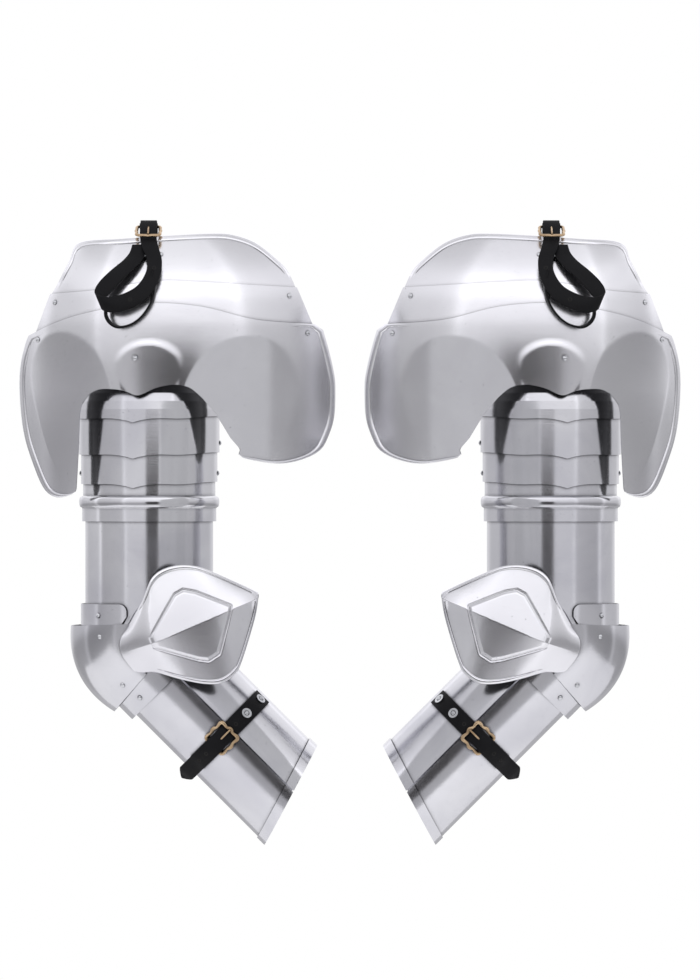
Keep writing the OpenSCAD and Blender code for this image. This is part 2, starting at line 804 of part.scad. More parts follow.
buckle_a = -6.5;
buckle_lift = 3.1;
function ring(r, a) = [r * sin(a), -r * cos(a)];
module band(path, t, w) {
    translate([0, 0, -strap_at - w / 2])
        linear_extrude(height = w)
            polygon(strip(path, t));
}
module prong_slot() {
    on_fore(buckle_a, buckle_lift)
        translate([-10.5, -2.1, -4])
            cube([15, 4.2, 12]);
}
module vambrace_strap() {
    r = fore_r + strap_t / 2 + 0.3;
    path = concat([for (a = [69:-5:9]) ring(r, a)], [ring(r + 0.1, 3)],
        [ring(r + 3, -5), ring(r + 6.6, -12), ring(r + 8.3, -19), ring(r + 8.2, -28),
            ring(r + 7.4, -38), ring(r + 6.6, -48)],
        [[-58, -32], [-67, -21]]);
    color(LEATHER)
        forearm()
            difference() {
                band(path, strap_t, strap_w - 0.4);
                for (a = washer_a)
                    on_fore(a, 0)
                        hole(rivet_r + 0.15);
                prong_slot();
            }
}
module vambrace_chape() {
    t = strap_t - 0.3;
    r = fore_r + t / 2 + 0.2;
    front = [cos(buckle_a), sin(buckle_a)];
    out = [sin(buckle_a), -cos(buckle_a)];
    hinge = ring(fore_r + buckle_lift, buckle_a) - (buckle_w / 2 - bar_r) * front;
    eye = bar_r + 0.35 + t / 2;
    path = concat([for (a = [-52:5:-27]) ring(r, a)],
        [for (b = [-90:20:130]) hinge + eye * (cos(b) * front + sin(b) * out)]);
    color(LEATHER)
        forearm()
            difference() {
                band(path, t, strap_w);
                on_fore(chape_rivet_a, 0)
                    hole(rivet_r + 0.15);
                prong_slot();
                on_fore(buckle_a, buckle_lift)
                    translate([-18, -2.1, -6])
                        cube([12, 4.2, 12]);
            }
}
module at_fore_buckle() {
    on_fore(buckle_a, buckle_lift)
        rotate([0, 0, -90])
            children();
}
module vambrace_buckle() {
    color(BRASS)
        forearm()
            at_fore_buckle()
                buckle_frame();
}
module vambrace_prong() {
    color(BRASS)
        forearm()
            at_fore_buckle()
                buckle_prong();
}
module shoulder_chape() {
    t = strap_t - 0.3;
    hinge = [buckle_pos[1] + (buckle_w / 2 - bar_r) * cos(buckle_tilt),
        buckle_pos[2] + (buckle_w / 2 - bar_r) * sin(buckle_tilt)];
    eye = bar_r + 0.35 + t / 2;
    low = skin(strap_rivets[0], 2 * step_in + plate_t + 2.4 + t / 2);
    path = concat([[low[1] - 3.6, -30], [low[1], -22], [hinge[0] + eye - 2, -8]],
        [for (b = [0:25:225]) hinge + eye * [cos(b), sin(b)]]);
    color(LEATHER)
        difference() {
            translate([buckle_pos[0], 0, 0])
                rotate([90, 0, 90])
                    linear_extrude(height = strap_w, center = true)
                        polygon(strip(path, t));
            on_skin(strap_rivets[0], 0)
                hole(rivet_r + 0.3);
            translate([buckle_pos[0] - 2.1, hinge[0] - 6, hinge[1] - 5])
                cube([4.2, 11, 12]);
        }
}

module piece(name) {
    if (name == "collar_plate") collar_plate();
    if (name == "collar_rivets") collar_rivets();
    if (name == "pauldron_lame") pauldron_lame();
    if (name == "pauldron_plate") pauldron_plate();
    if (name == "pauldron_rivets") pauldron_rivets();
    if (name == "shoulder_strap") shoulder_strap();
    if (name == "shoulder_chape") shoulder_chape();
    if (name == "shoulder_buckle") shoulder_buckle();
    if (name == "shoulder_prong") shoulder_prong();
    if (name == "hanging_leather") hanging_leather();
    if (name == "arm_lame_top") arm_lame_top();
    if (name == "arm_lame_middle") arm_lame_middle();
    if (name == "arm_lame_bottom") arm_lame_bottom();
    if (name == "arm_rivets_upper") arm_rivets_upper();
    if (name == "arm_rivets_lower") arm_rivets_lower();
    if (name == "upper_cannon") upper_cannon();
    if (name == "lower_cannon") lower_cannon();
    if (name == "couter_upper_lame") couter_upper_lame();
    if (name == "couter") couter();
    if (name == "couter_lower_lame") couter_lower_lame();
    if (name == "upper_elbow_rivets") upper_elbow_rivets();
    if (name == "couter_rivets") couter_rivets();
    if (name == "vambrace_rear_shell") vambrace_rear_shell();
    if (name == "vambrace_rear_rivets") vambrace_rear_rivets();
    if (name == "vambrace_front_shell") vambrace_front_shell();
    if (name == "vambrace_front_rivets") vambrace_front_rivets();
    if (name == "vambrace_strap") vambrace_strap();
    if (name == "vambrace_chape") vambrace_chape();
    if (name == "vambrace_buckle") vambrace_buckle();
    if (name == "vambrace_prong") vambrace_prong();
}
// The left arm is the right one seen in a mirror.
for (p = PARTS) {
    translate([-arm_offset, 0, 0])
            piece(p);
    mirror([1, 0, 0])
            translate([-arm_offset, 0, 0])
                piece(p);
}
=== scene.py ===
import bpy, math
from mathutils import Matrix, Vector


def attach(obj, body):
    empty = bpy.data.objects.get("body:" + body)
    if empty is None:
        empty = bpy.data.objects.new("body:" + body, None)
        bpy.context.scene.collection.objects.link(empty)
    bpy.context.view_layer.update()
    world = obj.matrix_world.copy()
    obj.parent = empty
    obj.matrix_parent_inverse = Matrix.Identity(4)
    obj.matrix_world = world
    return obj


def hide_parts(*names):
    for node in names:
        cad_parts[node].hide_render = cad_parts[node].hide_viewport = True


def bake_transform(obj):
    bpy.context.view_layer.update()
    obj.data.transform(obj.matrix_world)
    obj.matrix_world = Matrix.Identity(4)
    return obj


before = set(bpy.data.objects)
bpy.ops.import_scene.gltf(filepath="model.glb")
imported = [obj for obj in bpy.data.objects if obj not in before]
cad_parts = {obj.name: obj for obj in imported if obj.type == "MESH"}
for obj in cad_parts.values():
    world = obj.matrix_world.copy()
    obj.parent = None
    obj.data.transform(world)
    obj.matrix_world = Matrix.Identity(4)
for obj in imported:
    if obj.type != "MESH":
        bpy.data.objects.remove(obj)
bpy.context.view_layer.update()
scene = bpy.context.scene

# Pauldron plates. The shoulder cap is three plates of 1.2 mm steel, each lapped under the next:
# collar plate, lame and main plate. They are hammered to one rounded surface and polished in
# front, and their free edges are rolled over to the front. Their front is painted paler than the
# arm's steel as painted light, and their hollow side is painted near black as painted shade.

sides = ("right", "left")
plate = 1.2
plate_step = 2.1
collar_lap, lame_lap = 19, 13

# Sizes are in millimetres about one arm's own axis, with X to its front and -Y to its outer
# side. The plates slide over each other about one cross axis. Above it the surface is round about
# that axis; below it the plate hangs down, leans in a little and swells into the boss.
slide_y, slide_z = 80, -100
crown_front, crown_fall = -92, 82
front_reach, rear_reach = 194, 137
lean_in = 0.0009
boss_x, boss_z, boss_half = 2, -141, 36
boss_up, boss_down = 27, 48
boss_border, boss_height = 0.3, 1.5
boss_fall_from, boss_fall = -118, 0.05


def crown_y(x):
    return crown_front + crown_fall * (abs(x) / (front_reach if x > 0 else rear_reach)) ** 2.5


def skin_y(x, z):
    h = z - slide_z
    if h > 0:
        return slide_y - math.sqrt((slide_y - crown_y(x)) ** 2 - h * h)
    u = 1 - ((x - boss_x) / boss_half) ** 2
    u -= ((z - boss_z) / (boss_up if z > boss_z else boss_down)) ** 2
    u = max(0, min(1, u / boss_border))
    lift = boss_height - boss_fall * max(0, boss_fall_from - z)
    return crown_y(x) + lean_in * h * h - lift * u * u * (3 - 2 * u)


# The hammered dishes beside the boss: middle x and z, half width, height above and below the
# middle, lean and depth of each.
dishes = ((-80, -165, 43, 60, 130, -0.2, 3.8), (96, -175, 60, 65, 110, 0.18, 4.4))


def dish(x, z):
    sunk = 0
    for cx, cz, wide, up, down, lean, deep in dishes:
        q = ((x - cx - lean * (z - cz)) / wide) ** 2 + ((z - cz) / (up if z > cz else down)) ** 2
        sunk += deep * (1 - q) if q < 1 else 0
    return sunk


# The point at a depth under the surface, square to it.
def skin_point(x, z, depth):
    e = 0.5
    n = Vector(((skin_y(x + e, z) - skin_y(x - e, z)) / (2 * e), -1,
                (skin_y(x, z + e) - skin_y(x, z - e)) / (2 * e))).normalized()
    return Vector((x, skin_y(x, z), z)) - n * depth


# A smooth line through the points, with n steps from each point to the next.
def curve(p, n):
    out = []
    for i in range(len(p) - 1):
        a, b, c, d = p[max(i - 1, 0)], p[i], p[i + 1], p[min(i + 2, len(p) - 1)]
        for k in range(n):
            u = k / n
            out.append([(2 * b[j] + (c[j] - a[j]) * u
                         + (2 * a[j] - 5 * b[j] + 4 * c[j] - d[j]) * u * u
                         + (3 * b[j] - 3 * c[j] + d[j] - a[j]) * u ** 3) / 2
                        for j in range(len(b))])
    return out + [list(p[-1])]


# The same line cut into n steps of equal length.
def even(p, n):
    run = [0.0]
    for a, b in zip(p, p[1:]):
        run.append(run[-1] + math.dist(a, b))
    out, i = [], 0
    for k in range(n + 1):
        s = run[-1] * k / n
        while i < len(p) - 2 and run[i + 1] < s:
            i += 1
        u = (s - run[i]) / max(run[i + 1] - run[i], 1e-9)
        out.append([a + (b - a) * u for a, b in zip(p[i], p[i + 1])])
    return out


# Outlines of the plates, seen from outside.
collar_top = [[-104.5, -64], [-98, -53], [-84.5, -27.3], [-74, -8.4], [-29, -4.8], [17.3, -1.6],
              [67.7, 1.2], [90.8, 0], [115, -8.4], [138, -26.3], [149.6, -38.9], [158, -56.7]]
seam_upper = [[-104.5, -64], [-54, -60.9], [8.9, -51.5], [51, -52], [102, -54.6], [158, -56.7]]
seam_lower = [[-126.5, -108], [-98.2, -95.6], [-61.4, -85], [-2.6, -75.6], [56, -78.8],
              [115, -92.4], [180, -96]]
front_rim = [[97, -234.2], [103.4, -238.4], [136, -243.1], [161.2, -238.9], [181.1, -228.4],
             [190.6, -211], [195.8, -192.2], [196.9, -165.9], [195.8, -149.1], [190.2, -123.9],
             [184, -102]]
rear_rim = [[-126.5, -108], [-130.7, -118.7], [-136, -144.9], [-136, -177.5], [-131.8, -212.1],
            [-122.3, -242.6], [-110.8, -268.8], [-98.2, -278.3], [-84.5, -277.2], [-77, -273]]
arch_front = [[98.8, -229], [88.7, -217.4], [82.4, -206.9], [73, -191.7], [58.3, -174.9]]
arch_top = [[58.3, -174.9], [44.6, -163.8], [27.8, -160.7], [8.9, -164.4], [-8.9, -171.9],
            [-21.5, -168], [-33.1, -165.6], [-49.9, -165.6], [-61.4, -170.1]]
arch_rear = [[-61.4, -170.1], [-70.9, -181.7], [-73, -191], [-74, -223.7], [-76, -270]]
arch_line = even(arch_front, 40) + even(curve(arch_top, 4), 70)[1:] + even(arch_rear, 40)[1:]
rim_line = (even(curve(front_rim, 5), 40) + even(curve(seam_lower, 5)[::-1], 70)[1:]
            + even(curve(rear_rim, 5), 40)[1:])
collar_line, upper_line, lower_line = (even(curve(line, 5), 130)
                                       for line in (collar_top, seam_upper, seam_lower))


# One shader node with its starting values; a group's node is given the group.
def add(tree, kind, group=None, **start):
    made = tree.nodes.new("ShaderNode" + kind)
    if group:
        made.node_tree = group
    if kind == "Mix":
        made.data_type = "RGBA"
    for socket, value in start.items():
        made.inputs[socket.replace("_", " ")].default_value = value
    return made


def new_group(name, wanted, given):
    tree = bpy.data.node_groups.new(name, "ShaderNodeTree")
    for title in wanted:
        tree.interface.new_socket(title, in_out="INPUT", socket_type="NodeSocketFloat")
    for title, kind in given:
        tree.interface.new_socket(title, in_out="OUTPUT", socket_type="NodeSocket" + kind)
    return tree, tree.nodes.new("NodeGroupInput"), tree.nodes.new("NodeGroupOutput")


# Brush marks: fine stretched noise, as the polishing wheel leaves it.
brush, asked, answer = new_group("brush marks", ("Scale", "Depth"),
                                 (("Marks", "Float"), ("Normal", "Vector")))
coords = add(brush, "TexCoord")
stretch = add(brush, "Mapping", Scale=(1.0, 1.0, 14.0), Rotation=(0.05, 0.12, 0.0))
brush.links.new(coords.outputs["Object"], stretch.inputs["Vector"])
streak = add(brush, "TexNoise", Detail=6.0, Roughness=0.62)
brush.links.new(stretch.outputs["Vector"], streak.inputs["Vector"])
brush.links.new(asked.outputs["Scale"], streak.inputs["Scale"])
bump = add(brush, "Bump", Distance=0.0004)
brush.links.new(asked.outputs["Depth"], bump.inputs["Strength"])
brush.links.new(streak.outputs["Fac"], bump.inputs["Height"])
brush.links.new(streak.outputs["Fac"], answer.inputs["Marks"])
brush.links.new(bump.outputs["Normal"], answer.inputs["Normal"])

# Clouding: broad patches where the polish is duller, and small specks of pitting.
cloud, asked, answer = new_group("polish clouding", ("Scale",),
                                 (("Clouds", "Float"), ("Specks", "Float")))
coords = add(cloud, "TexCoord")
broad = add(cloud, "TexNoise", Detail=5.0, Distortion=0.6)
cloud.links.new(coords.outputs["Object"], broad.inputs["Vector"])
cloud.links.new(asked.outputs["Scale"], broad.inputs["Scale"])
speck = add(cloud, "TexNoise", Scale=520.0, Detail=3.0)
cloud.links.new(coords.outputs["Object"], speck.inputs["Vector"])
spread = add(cloud, "MapRange", From_Min=0.35, From_Max=0.68)
cloud.links.new(broad.outputs["Fac"], spread.inputs["Value"])
pits = add(cloud, "MapRange", From_Min=0.68, From_Max=0.8)
cloud.links.new(speck.outputs["Fac"], pits.inputs["Value"])
cloud.links.new(spread.outputs["Result"], answer.inputs["Clouds"])
cloud.links.new(pits.outputs["Result"], answer.inputs["Specks"])


# Pits, with their paste, and the painted crease shade are this share as bright as the clouded
# metal.
pit_shade, painted_crease_shade = 0.45, 0.12
crease_wide = 0.0045


# A polished metal. Its colour runs from clear to clouded and its roughness from smooth to
# dull; pits hold dark polishing paste, and the creases between pieces get painted shade from
# ambient occlusion.
def metal(name, clear, clouded, smooth, dull, marks, depth, patch, deepest=0.4):
    m = bpy.data.materials.new(name)
    m.use_nodes = True
    t = m.node_tree
    skin = t.nodes["Principled BSDF"]
    skin.inputs["Metallic"].default_value = 1.0
    brushed = add(t, "Group", brush, Scale=marks, Depth=depth)
    clouds = add(t, "Group", cloud, Scale=patch)
    tint = add(t, "Mix", A=(*clear, 1), B=(*clouded, 1))
    t.links.new(clouds.outputs["Clouds"], tint.inputs["Factor"])
    pit = add(t, "Mix", B=tuple(v * pit_shade for v in clouded) + (1,))
    t.links.new(tint.outputs["Result"], pit.inputs["A"])
    t.links.new(clouds.outputs["Specks"], pit.inputs["Factor"])
    # Painted shade: ambient occlusion darkens the base colour in creases and seams between pieces.
    crease = add(t, "AmbientOcclusion", Distance=crease_wide)
    crease.samples = 6
    shade = add(t, "MapRange", From_Min=deepest, From_Max=0.9, To_Min=1.0, To_Max=0.0)
    t.links.new(crease.outputs["AO"], shade.inputs["Value"])
    painted_seam_shade = add(t, "Mix", B=tuple(v * painted_crease_shade for v in clouded) + (1,))
    t.links.new(pit.outputs["Result"], painted_seam_shade.inputs["A"])
    t.links.new(shade.outputs["Result"], painted_seam_shade.inputs["Factor"])
    t.links.new(painted_seam_shade.outputs["Result"], skin.inputs["Base Color"])
    half = add(t, "Math")
    half.operation = "MULTIPLY"
    half.inputs[1].default_value = 0.5
    t.links.new(clouds.outputs["Clouds"], half.inputs[0])
    mixed = add(t, "Math")
    mixed.operation = "MULTIPLY_ADD"
    mixed.inputs[1].default_value = 0.5
    t.links.new(brushed.outputs["Marks"], mixed.inputs[0])
    t.links.new(half.outputs["Value"], mixed.inputs[2])
    level = add(t, "MapRange", To_Min=smooth, To_Max=dull)
    t.links.new(mixed.outputs["Value"], level.inputs["Value"])
    t.links.new(level.outputs["Result"], skin.inputs["Roughness"])
    t.links.new(brushed.outputs["Normal"], skin.inputs["Normal"])
    return m


# Painted light: this is the same steel as the arm's, with a paler colour where the plates read
# brighter, and a little duller.
satin_painted_paler = metal("satin steel", clear=(0.90, 0.90, 0.925), clouded=(0.78, 0.775, 0.81),
              smooth=0.15, dull=0.27, marks=34, depth=0.025, patch=7)

# The hollow side is painted near black as painted shade, standing for the dark inside of the
# plates that the lames reflect. The plates face away from +Y in front, so the object's own normal
# tells the two sides apart.
t = satin_painted_paler.node_tree
skin = t.nodes["Principled BSDF"]
polished = skin.inputs["Base Color"].links[0].from_socket
coords = add(t, "TexCoord")
facing = add(t, "SeparateXYZ")
t.links.new(coords.outputs["Normal"], facing.inputs["Vector"])
hollow = add(t, "MapRange", From_Min=0.1, From_Max=0.3)
t.links.new(facing.outputs["Y"], hollow.inputs["Value"])
painted_hollow_shade = add(t, "Mix", B=(0.012, 0.012, 0.013, 1))
t.links.new(hollow.outputs["Result"], painted_hollow_shade.inputs["Factor"])
t.links.new(polished, painted_hollow_shade.inputs["A"])
t.links.new(painted_hollow_shade.outputs["Result"], skin.inputs["Base Color"])

# Where the right arm hangs, from the middle of the pair.
arm_axis_x = -212.6


# A point of the right arm goes to its place in the pair, in metres; the left arm is the right
# one's mirror image.
def placed(side, p):
    x = arm_axis_x + p[0]
    return Vector(((x if side == "right" else -x) / 1000, p[1] / 1000, p[2] / 1000))


# One finished piece: its mesh with edges sharper than the angle kept crisp, its material, the
# body it rides on and the nodes it stands for.
def piece(side, name, points, faces, material, body, nodes=(), angle=35):
    mesh = bpy.data.meshes.new(f"{side}_{name}")
    turned = faces if side == "right" else [tuple(reversed(f)) for f in faces]
    mesh.from_pydata([placed(side, p) for p in points], [], turned)
    mesh.validate()
    for f in mesh.polygons:
        f.use_smooth = True
    mesh.set_sharp_from_angle(angle=math.radians(angle))
    mesh.materials.append(material)
    o = bpy.data.objects.new(f"{side}_{name}", mesh)
    scene.collection.objects.link(o)
    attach(o, body)
    if nodes:
        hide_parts(*nodes)
    return o


# A plate between rows of points on its outer face and on its inner face, closed at its edges.
def sheet(outer, inner):
    n, m = len(outer), len(outer[0])
    o = n * m
    points = [p for r in outer for p in r] + [p for r in inner for p in r]
    faces = []
    for i in range(n - 1):
        for j in range(m - 1):
            a, b, c, d = i * m + j, (i + 1) * m + j, (i + 1) * m + j + 1, i * m + j + 1
            faces += [(a, d, c, b), (o + a, o + b, o + c, o + d)]
    for i in range(n - 1):
        faces += [(i * m, (i + 1) * m, o + (i + 1) * m, o + i * m),
                  (i * m + m - 1, o + i * m + m - 1, o + (i + 1) * m + m - 1, (i + 1) * m + m - 1)]
    for j in range(m - 1):
        e = (n - 1) * m + j
        faces += [(j, o + j, o + j + 1, j + 1), (e, e + 1, o + e + 1, o + e)]
    return points, faces


def ramp(value, low, high):
    return max(0.0, min(1.0, (value - low) / (high - low)))


roll_height, roll_middle, roll_half, roll_end = 1.8, 3, 3.1, 6.1
border_rows = [0, 0.5, 1.2, 2.2, 3.2, 4.2, 5.1, 5.7, 6.1, 6.6, 8]
field_rows = 34
least_span = 30


# Rows run from the low line to the high line, whose edge is rolled by the share that rolled
# gives along it. Near its ends the plate narrows, and the roll shrinks with it.
def pauldron_sheet(side, node, low, high, depth, body, rolled, dished=False):
    border = border_rows[-1]
    outer, inner = [], []
    for i, (a, b) in enumerate(zip(low, high)):
        length = math.dist(a, b)
        fit = min(1, length / least_span)
        rows = [e * fit for e in border_rows]
        rows += [border * fit + (length - 2 * border * fit) * k / field_rows
                 for k in range(1, field_rows)]
        rows += [length - e * fit for e in reversed(border_rows)]
        share = rolled(i / (len(low) - 1))
        outer_row, inner_row = [], []
        for r in rows:
            x, z = (a[j] + (b[j] - a[j]) * r / length for j in (0, 1))
            lift = 0
            if length - r < roll_end * fit:
                u = ((length - r) / fit - roll_middle) / roll_half
                lift = share * roll_height * fit * math.sqrt(max(0, 1 - u ** 2))
            sunk = dish(x, z) if dished else 0
            outer_row.append(skin_point(x, z, depth - lift + sunk))
            inner_row.append(skin_point(x, z, depth + plate - 0.3 * lift + sunk))
        outer.append(outer_row)
        inner.append(inner_row)
    points, faces = sheet(outer, inner)
    piece(side, node + "_steel", points, faces, satin_painted_paler, body, [f"{side}_{node}"])


for side in sides:
    pauldron_sheet(side, "collar_plate", [[x, z - collar_lap] for x, z in upper_line], collar_line,
                   2 * plate_step, "shoulders",
                   lambda s: 0.8 * ramp(s, 0.05, 0.09) * ramp(1 - s, 0.05, 0.09))
    pauldron_sheet(side, "pauldron_lame", [[x, z - lame_lap] for x, z in lower_line], upper_line,
                   plate_step, f"{side}_lame", lambda s: 0)
    pauldron_sheet(side, "pauldron_plate", arch_line[::-1], rim_line[::-1], 0, f"{side}_pauldron",
                   lambda s: 1 - ramp(s, 0.24, 0.28) * (1 - ramp(s, 0.70, 0.74)), dished=True)

# Lame rivets. A steel rivet at each end of the lame runs in a hidden slot of the plate behind,
# so the lame can slide. Its head is hammered to a low dome that stands on the lame.
rivet_steel = metal("rivet steel", clear=(0.70, 0.71, 0.73), clouded=(0.52, 0.53, 0.55),
                    smooth=0.16, dull=0.34, marks=160, depth=0.2, patch=60)
lame_rivets = ((150, -66), (-99, -73.3))
head_profile = [(1.5, -1.0), (2.5, -0.1), (2.7, 0.12), (2.6, 0.6), (2.2, 1.25), (1.5, 1.75),
                (0.7, 2.0), (0.05, 2.05)]
head_sides = 24
for side in sides:
    for k, (x, z) in enumerate(lame_rivets):
        foot = skin_point(x, z, 2.0)
        out = (foot - skin_point(x, z, 3.0)).normalized()
        u = out.orthogonal().normalized()
        v = out.cross(u)
        turns = [2 * math.pi * j / head_sides for j in range(head_sides)]
        points = [foot + (u * math.cos(a) + v * math.sin(a)) * r + out * h
                  for r, h in head_profile for a in turns]
        faces = [(i * head_sides + j, i * head_sides + (j + 1) % head_sides,
                  (i + 1) * head_sides + (j + 1) % head_sides, (i + 1) * head_sides + j)
                 for i in range(len(head_profile) - 1) for j in range(head_sides)]
        faces.append(tuple(range(len(points) - head_sides, len(points))))
        piece(side, f"lame_rivet_{k + 1}", points, faces, rivet_steel, f"{side}_lame")

# Shoulder strap. A black harness leather, 2 mm thick, comes up through the shoulder buckle,
# hangs down over the plates in a loop and has its spare end curled under the loop. Its edges
# are rounded and it is punched for the prong.
strap_thick = 2
shoulder_strap_wide, spare_end_wide = 17.4, 15

leather = bpy.data.materials.new("black leather")
leather.use_nodes = True
t = leather.node_tree
skin = t.nodes["Principled BSDF"]
skin.inputs["Specular IOR Level"].default_value = 0.16
coords = add(t, "TexCoord")
pebble = add(t, "TexVoronoi", Scale=900.0)
pebble.feature = "DISTANCE_TO_EDGE"
t.links.new(coords.outputs["Object"], pebble.inputs["Vector"])
mottle = add(t, "TexNoise", Scale=110.0, Detail=6.0)
t.links.new(coords.outputs["Object"], mottle.inputs["Vector"])
dye_and_hole_shade = add(t, "Mix", A=(0.0015, 0.0015, 0.002, 1), B=(0.005, 0.005, 0.006, 1))
t.links.new(mottle.outputs["Fac"], dye_and_hole_shade.inputs["Factor"])
t.links.new(dye_and_hole_shade.outputs["Result"], skin.inputs["Base Color"])
waxed = add(t, "MapRange", To_Min=0.42, To_Max=0.68)
t.links.new(mottle.outputs["Fac"], waxed.inputs["Value"])
t.links.new(waxed.outputs["Result"], skin.inputs["Roughness"])
grain = add(t, "Bump", Strength=0.5, Distance=0.0002)
t.links.new(pebble.outputs["Distance"], grain.inputs["Height"])
t.links.new(grain.outputs["Normal"], skin.inputs["Normal"])

# A punched hole is drawn as a shallow dish: its sunk floor is painted dull near black as painted
# shade for the hole's depth, and its pressed lip shows the dull raw fibres round it.
punched = bpy.data.materials.new("punched leather")
punched.use_nodes = True
t = punched.node_tree
skin = t.nodes["Principled BSDF"]
skin.inputs["Roughness"].default_value = 0.9
fibre = add(t, "TexNoise", Scale=700.0)
dye_and_hole_shade = add(t, "Mix", A=(0.002, 0.002, 0.002, 1), B=(0.012, 0.011, 0.010, 1))
t.links.new(fibre.outputs["Fac"], dye_and_hole_shade.inputs["Factor"])
t.links.new(dye_and_hole_shade.outputs["Result"], skin.inputs["Base Color"])

# Half a strap's section is 1 wide, and its thickness is 1.
strap_section = [(-1, -0.1), (-0.985, -0.34), (-0.93, -0.5), (0.93, -0.5), (0.985, -0.34),
                 (1, -0.1), (1, 0.1), (0.985, 0.34), (0.93, 0.5), (-0.93, 0.5), (-0.985, 0.34),
                 (-1, 0.1)]


def strap_faces(steps):
    m = len(strap_section)
    faces = [(i * m + k, (i + 1) * m + k, (i + 1) * m + (k + 1) % m, i * m + (k + 1) % m)
             for i in range(steps - 1) for k in range(m)]
    return faces + [tuple(range(m)), tuple(reversed(range((steps - 1) * m, steps * m)))]


# A leather laid along its middle line, with its width along the direction given at each point.
def band(side, name, middle, across, width, thick, body, nodes):
    n = len(middle)
    points = []
    for i in range(n):
        along = Vector(middle[min(i + 1, n - 1)]) - Vector(middle[max(i - 1, 0)])
        w = Vector(across[i]).normalized()
        face = along.cross(w).normalized()
        for u, v in strap_section:
            points.append(Vector(middle[i]) + w * (u * width / 2) + face * (v * thick))
    return piece(side, name, points, strap_faces(n), leather, body, nodes, 50)


# A punched hole: radius and height of its sunk floor and pressed lip, for a hole of radius 1.
hole_profile = [(0.0, -0.25), (0.55, -0.25), (0.85, -0.1), (1.0, 0.12), (1.25, 0.16), (1.5, 0.0)]
hole_sides = 20
hole_radius, hole_proud = 1.5, 0.05


def hole(side, name, centre, out, body):
    out = Vector(out).normalized()
    u = out.orthogonal().normalized()
    v = out.cross(u)
    turns = [2 * math.pi * k / hole_sides for k in range(hole_sides)]
    points = [Vector(centre) + (u * math.cos(a) + v * math.sin(a)) * r * hole_radius
              + out * (h + hole_proud) for r, h in hole_profile for a in turns]
    faces = [(i * hole_sides + k, (i + 1) * hole_sides + k,
              (i + 1) * hole_sides + (k + 1) % hole_sides, i * hole_sides + (k + 1) % hole_sides)
             for i in range(len(hole_profile) - 1) for k in range(hole_sides)]
    piece(side, name, points, faces, punched, body, (), 50)


# Each point of the strap's route, with the direction of its width there.
strap_route = [
    [1, -38, 3, 1, 0, 0], [1, -43.5, 10.5, 1, 0, 0], [1, -50.5, 11.4, 1, 0, 0],
    [1, -58, 6.2, 1, 0, 0], [1, -65.5, -2.4, 1, 0, 0], [1.5, -71.6, -9, 1, -0.05, 0],
    [4, -79.5, -18, 1, -0.15, 0], [8, -87, -31, 0.9, -0.3, -0.2], [6, -98, -48, 0.7, -0.3, -0.5],
    [-6, -110, -66, 0.5, -0.2, -0.8], [-28, -116, -77, 0.35, -0.1, -0.9],
    [-44, -112, -77, 0.3, 0, -0.9], [-50, -105, -71, 0.4, -0.1, -0.85],
    [-44, -100, -60, 0.6, -0.3, -0.7], [-31, -94, -46, 0.8, -0.3, -0.4],
    [-17, -85, -33, 0.95, -0.15, -0.2], [-10, -77, -23, 1, 0, 0], [-7, -72.6, -14, 1, 0, 0]]
strap_line = curve(strap_route, 8)
spare_end = curve([[-42, -103, -78], [-42, -103, -89], [-37, -103, -97], [-28, -103, -101],
                   [-15, -103, -97.5], [-3, -102, -88], [6, -99, -73], [9, -95, -56],
                   [6, -90, -40]], 6)
strap_holes = (60, 76)
for side in sides:
    band(side, "shoulder_strap_leather", [q[:3] for q in strap_line],
         [q[3:] for q in strap_line], shoulder_strap_wide, strap_thick, "shoulders",
         [f"{side}_shoulder_strap"])
    band(side, "shoulder_strap_end_leather", spare_end, [(0.1, 1, 0.1)] * len(spare_end),
         spare_end_wide, strap_thick, "shoulders", [])
    for k, at in enumerate(strap_holes):
        q = strap_line[at]
        along = Vector(strap_line[at + 1][:3]) - Vector(strap_line[at - 1][:3])
        out = along.cross(Vector(q[3:])).normalized()
        if out[1] > 0:
            out = -out
        hole(side, f"shoulder_strap_hole_{k + 1}", Vector(q[:3]) + out * strap_thick / 2, out,
             "shoulders")

# Shoulder chape. A short black leather is riveted behind the collar plate and folded round the
# buckle's hinge bar. It is slotted in the middle for the prong, so two narrow strips go round
# the bar and join in the whole width below it.
chape_thick = 1.7
bar_r, bar_play = 1.6, 0.35
buckle_reach = 28 / 2 - bar_r
buckle_tilt = math.radians(24)
buckle_y, buckle_z = -62, 1
hinge = (buckle_y + buckle_reach * math.cos(buckle_tilt),
         buckle_z + buckle_reach * math.sin(buckle_tilt))
fold_r = bar_r + bar_play + chape_thick / 2
chape_foot = skin_point(-3, -22, 2 * plate_step + plate + 2.4 + chape_thick / 2)[1]
chape_fold = [(chape_foot - 3.6, -30), (chape_foot, -22), (hinge[0] + fold_r - 2, -8)]
chape_fold += [(hinge[0] + fold_r * math.cos(math.radians(a)),
                hinge[1] + fold_r * math.sin(math.radians(a))) for a in range(0, 230, 15)]
slot_end = -7
for side in sides:
    for tag, x, wide in (("a", -5.4, 6.2), ("b", 7.4, 6.2)):
        band(side, f"shoulder_chape_leather_{tag}", [(x, y, z) for y, z in chape_fold],
             [(1, 0, 0)] * len(chape_fold), wide, chape_thick, "shoulders",
             [f"{side}_shoulder_chape"])
    below_slot = [(1, y, z) for y, z in chape_fold if z < slot_end]
    band(side, "shoulder_chape_leather_c", below_slot, [(1, 0, 0)] * len(below_slot), 6.8,
         chape_thick, "shoulders", [f"{side}_shoulder_chape"])

# Shoulder buckle. A square brass frame, cast with rounded corners and sides that swell and
# narrow a little, with a brass prong that hooks round its hinge bar and rests on the far bar.
brass = metal("cast brass", clear=(0.66, 0.49, 0.31), clouded=(0.42, 0.29, 0.17),
              smooth=0.20, dull=0.42, marks=90, depth=0.5, patch=80)
frame_steps, frame_sides = 96, 12
squareness = 6
swells, swell_out, swell_wide = 8, 0.75, 0.3
frame_half_wide, frame_half_thick = 1.85, 1.45


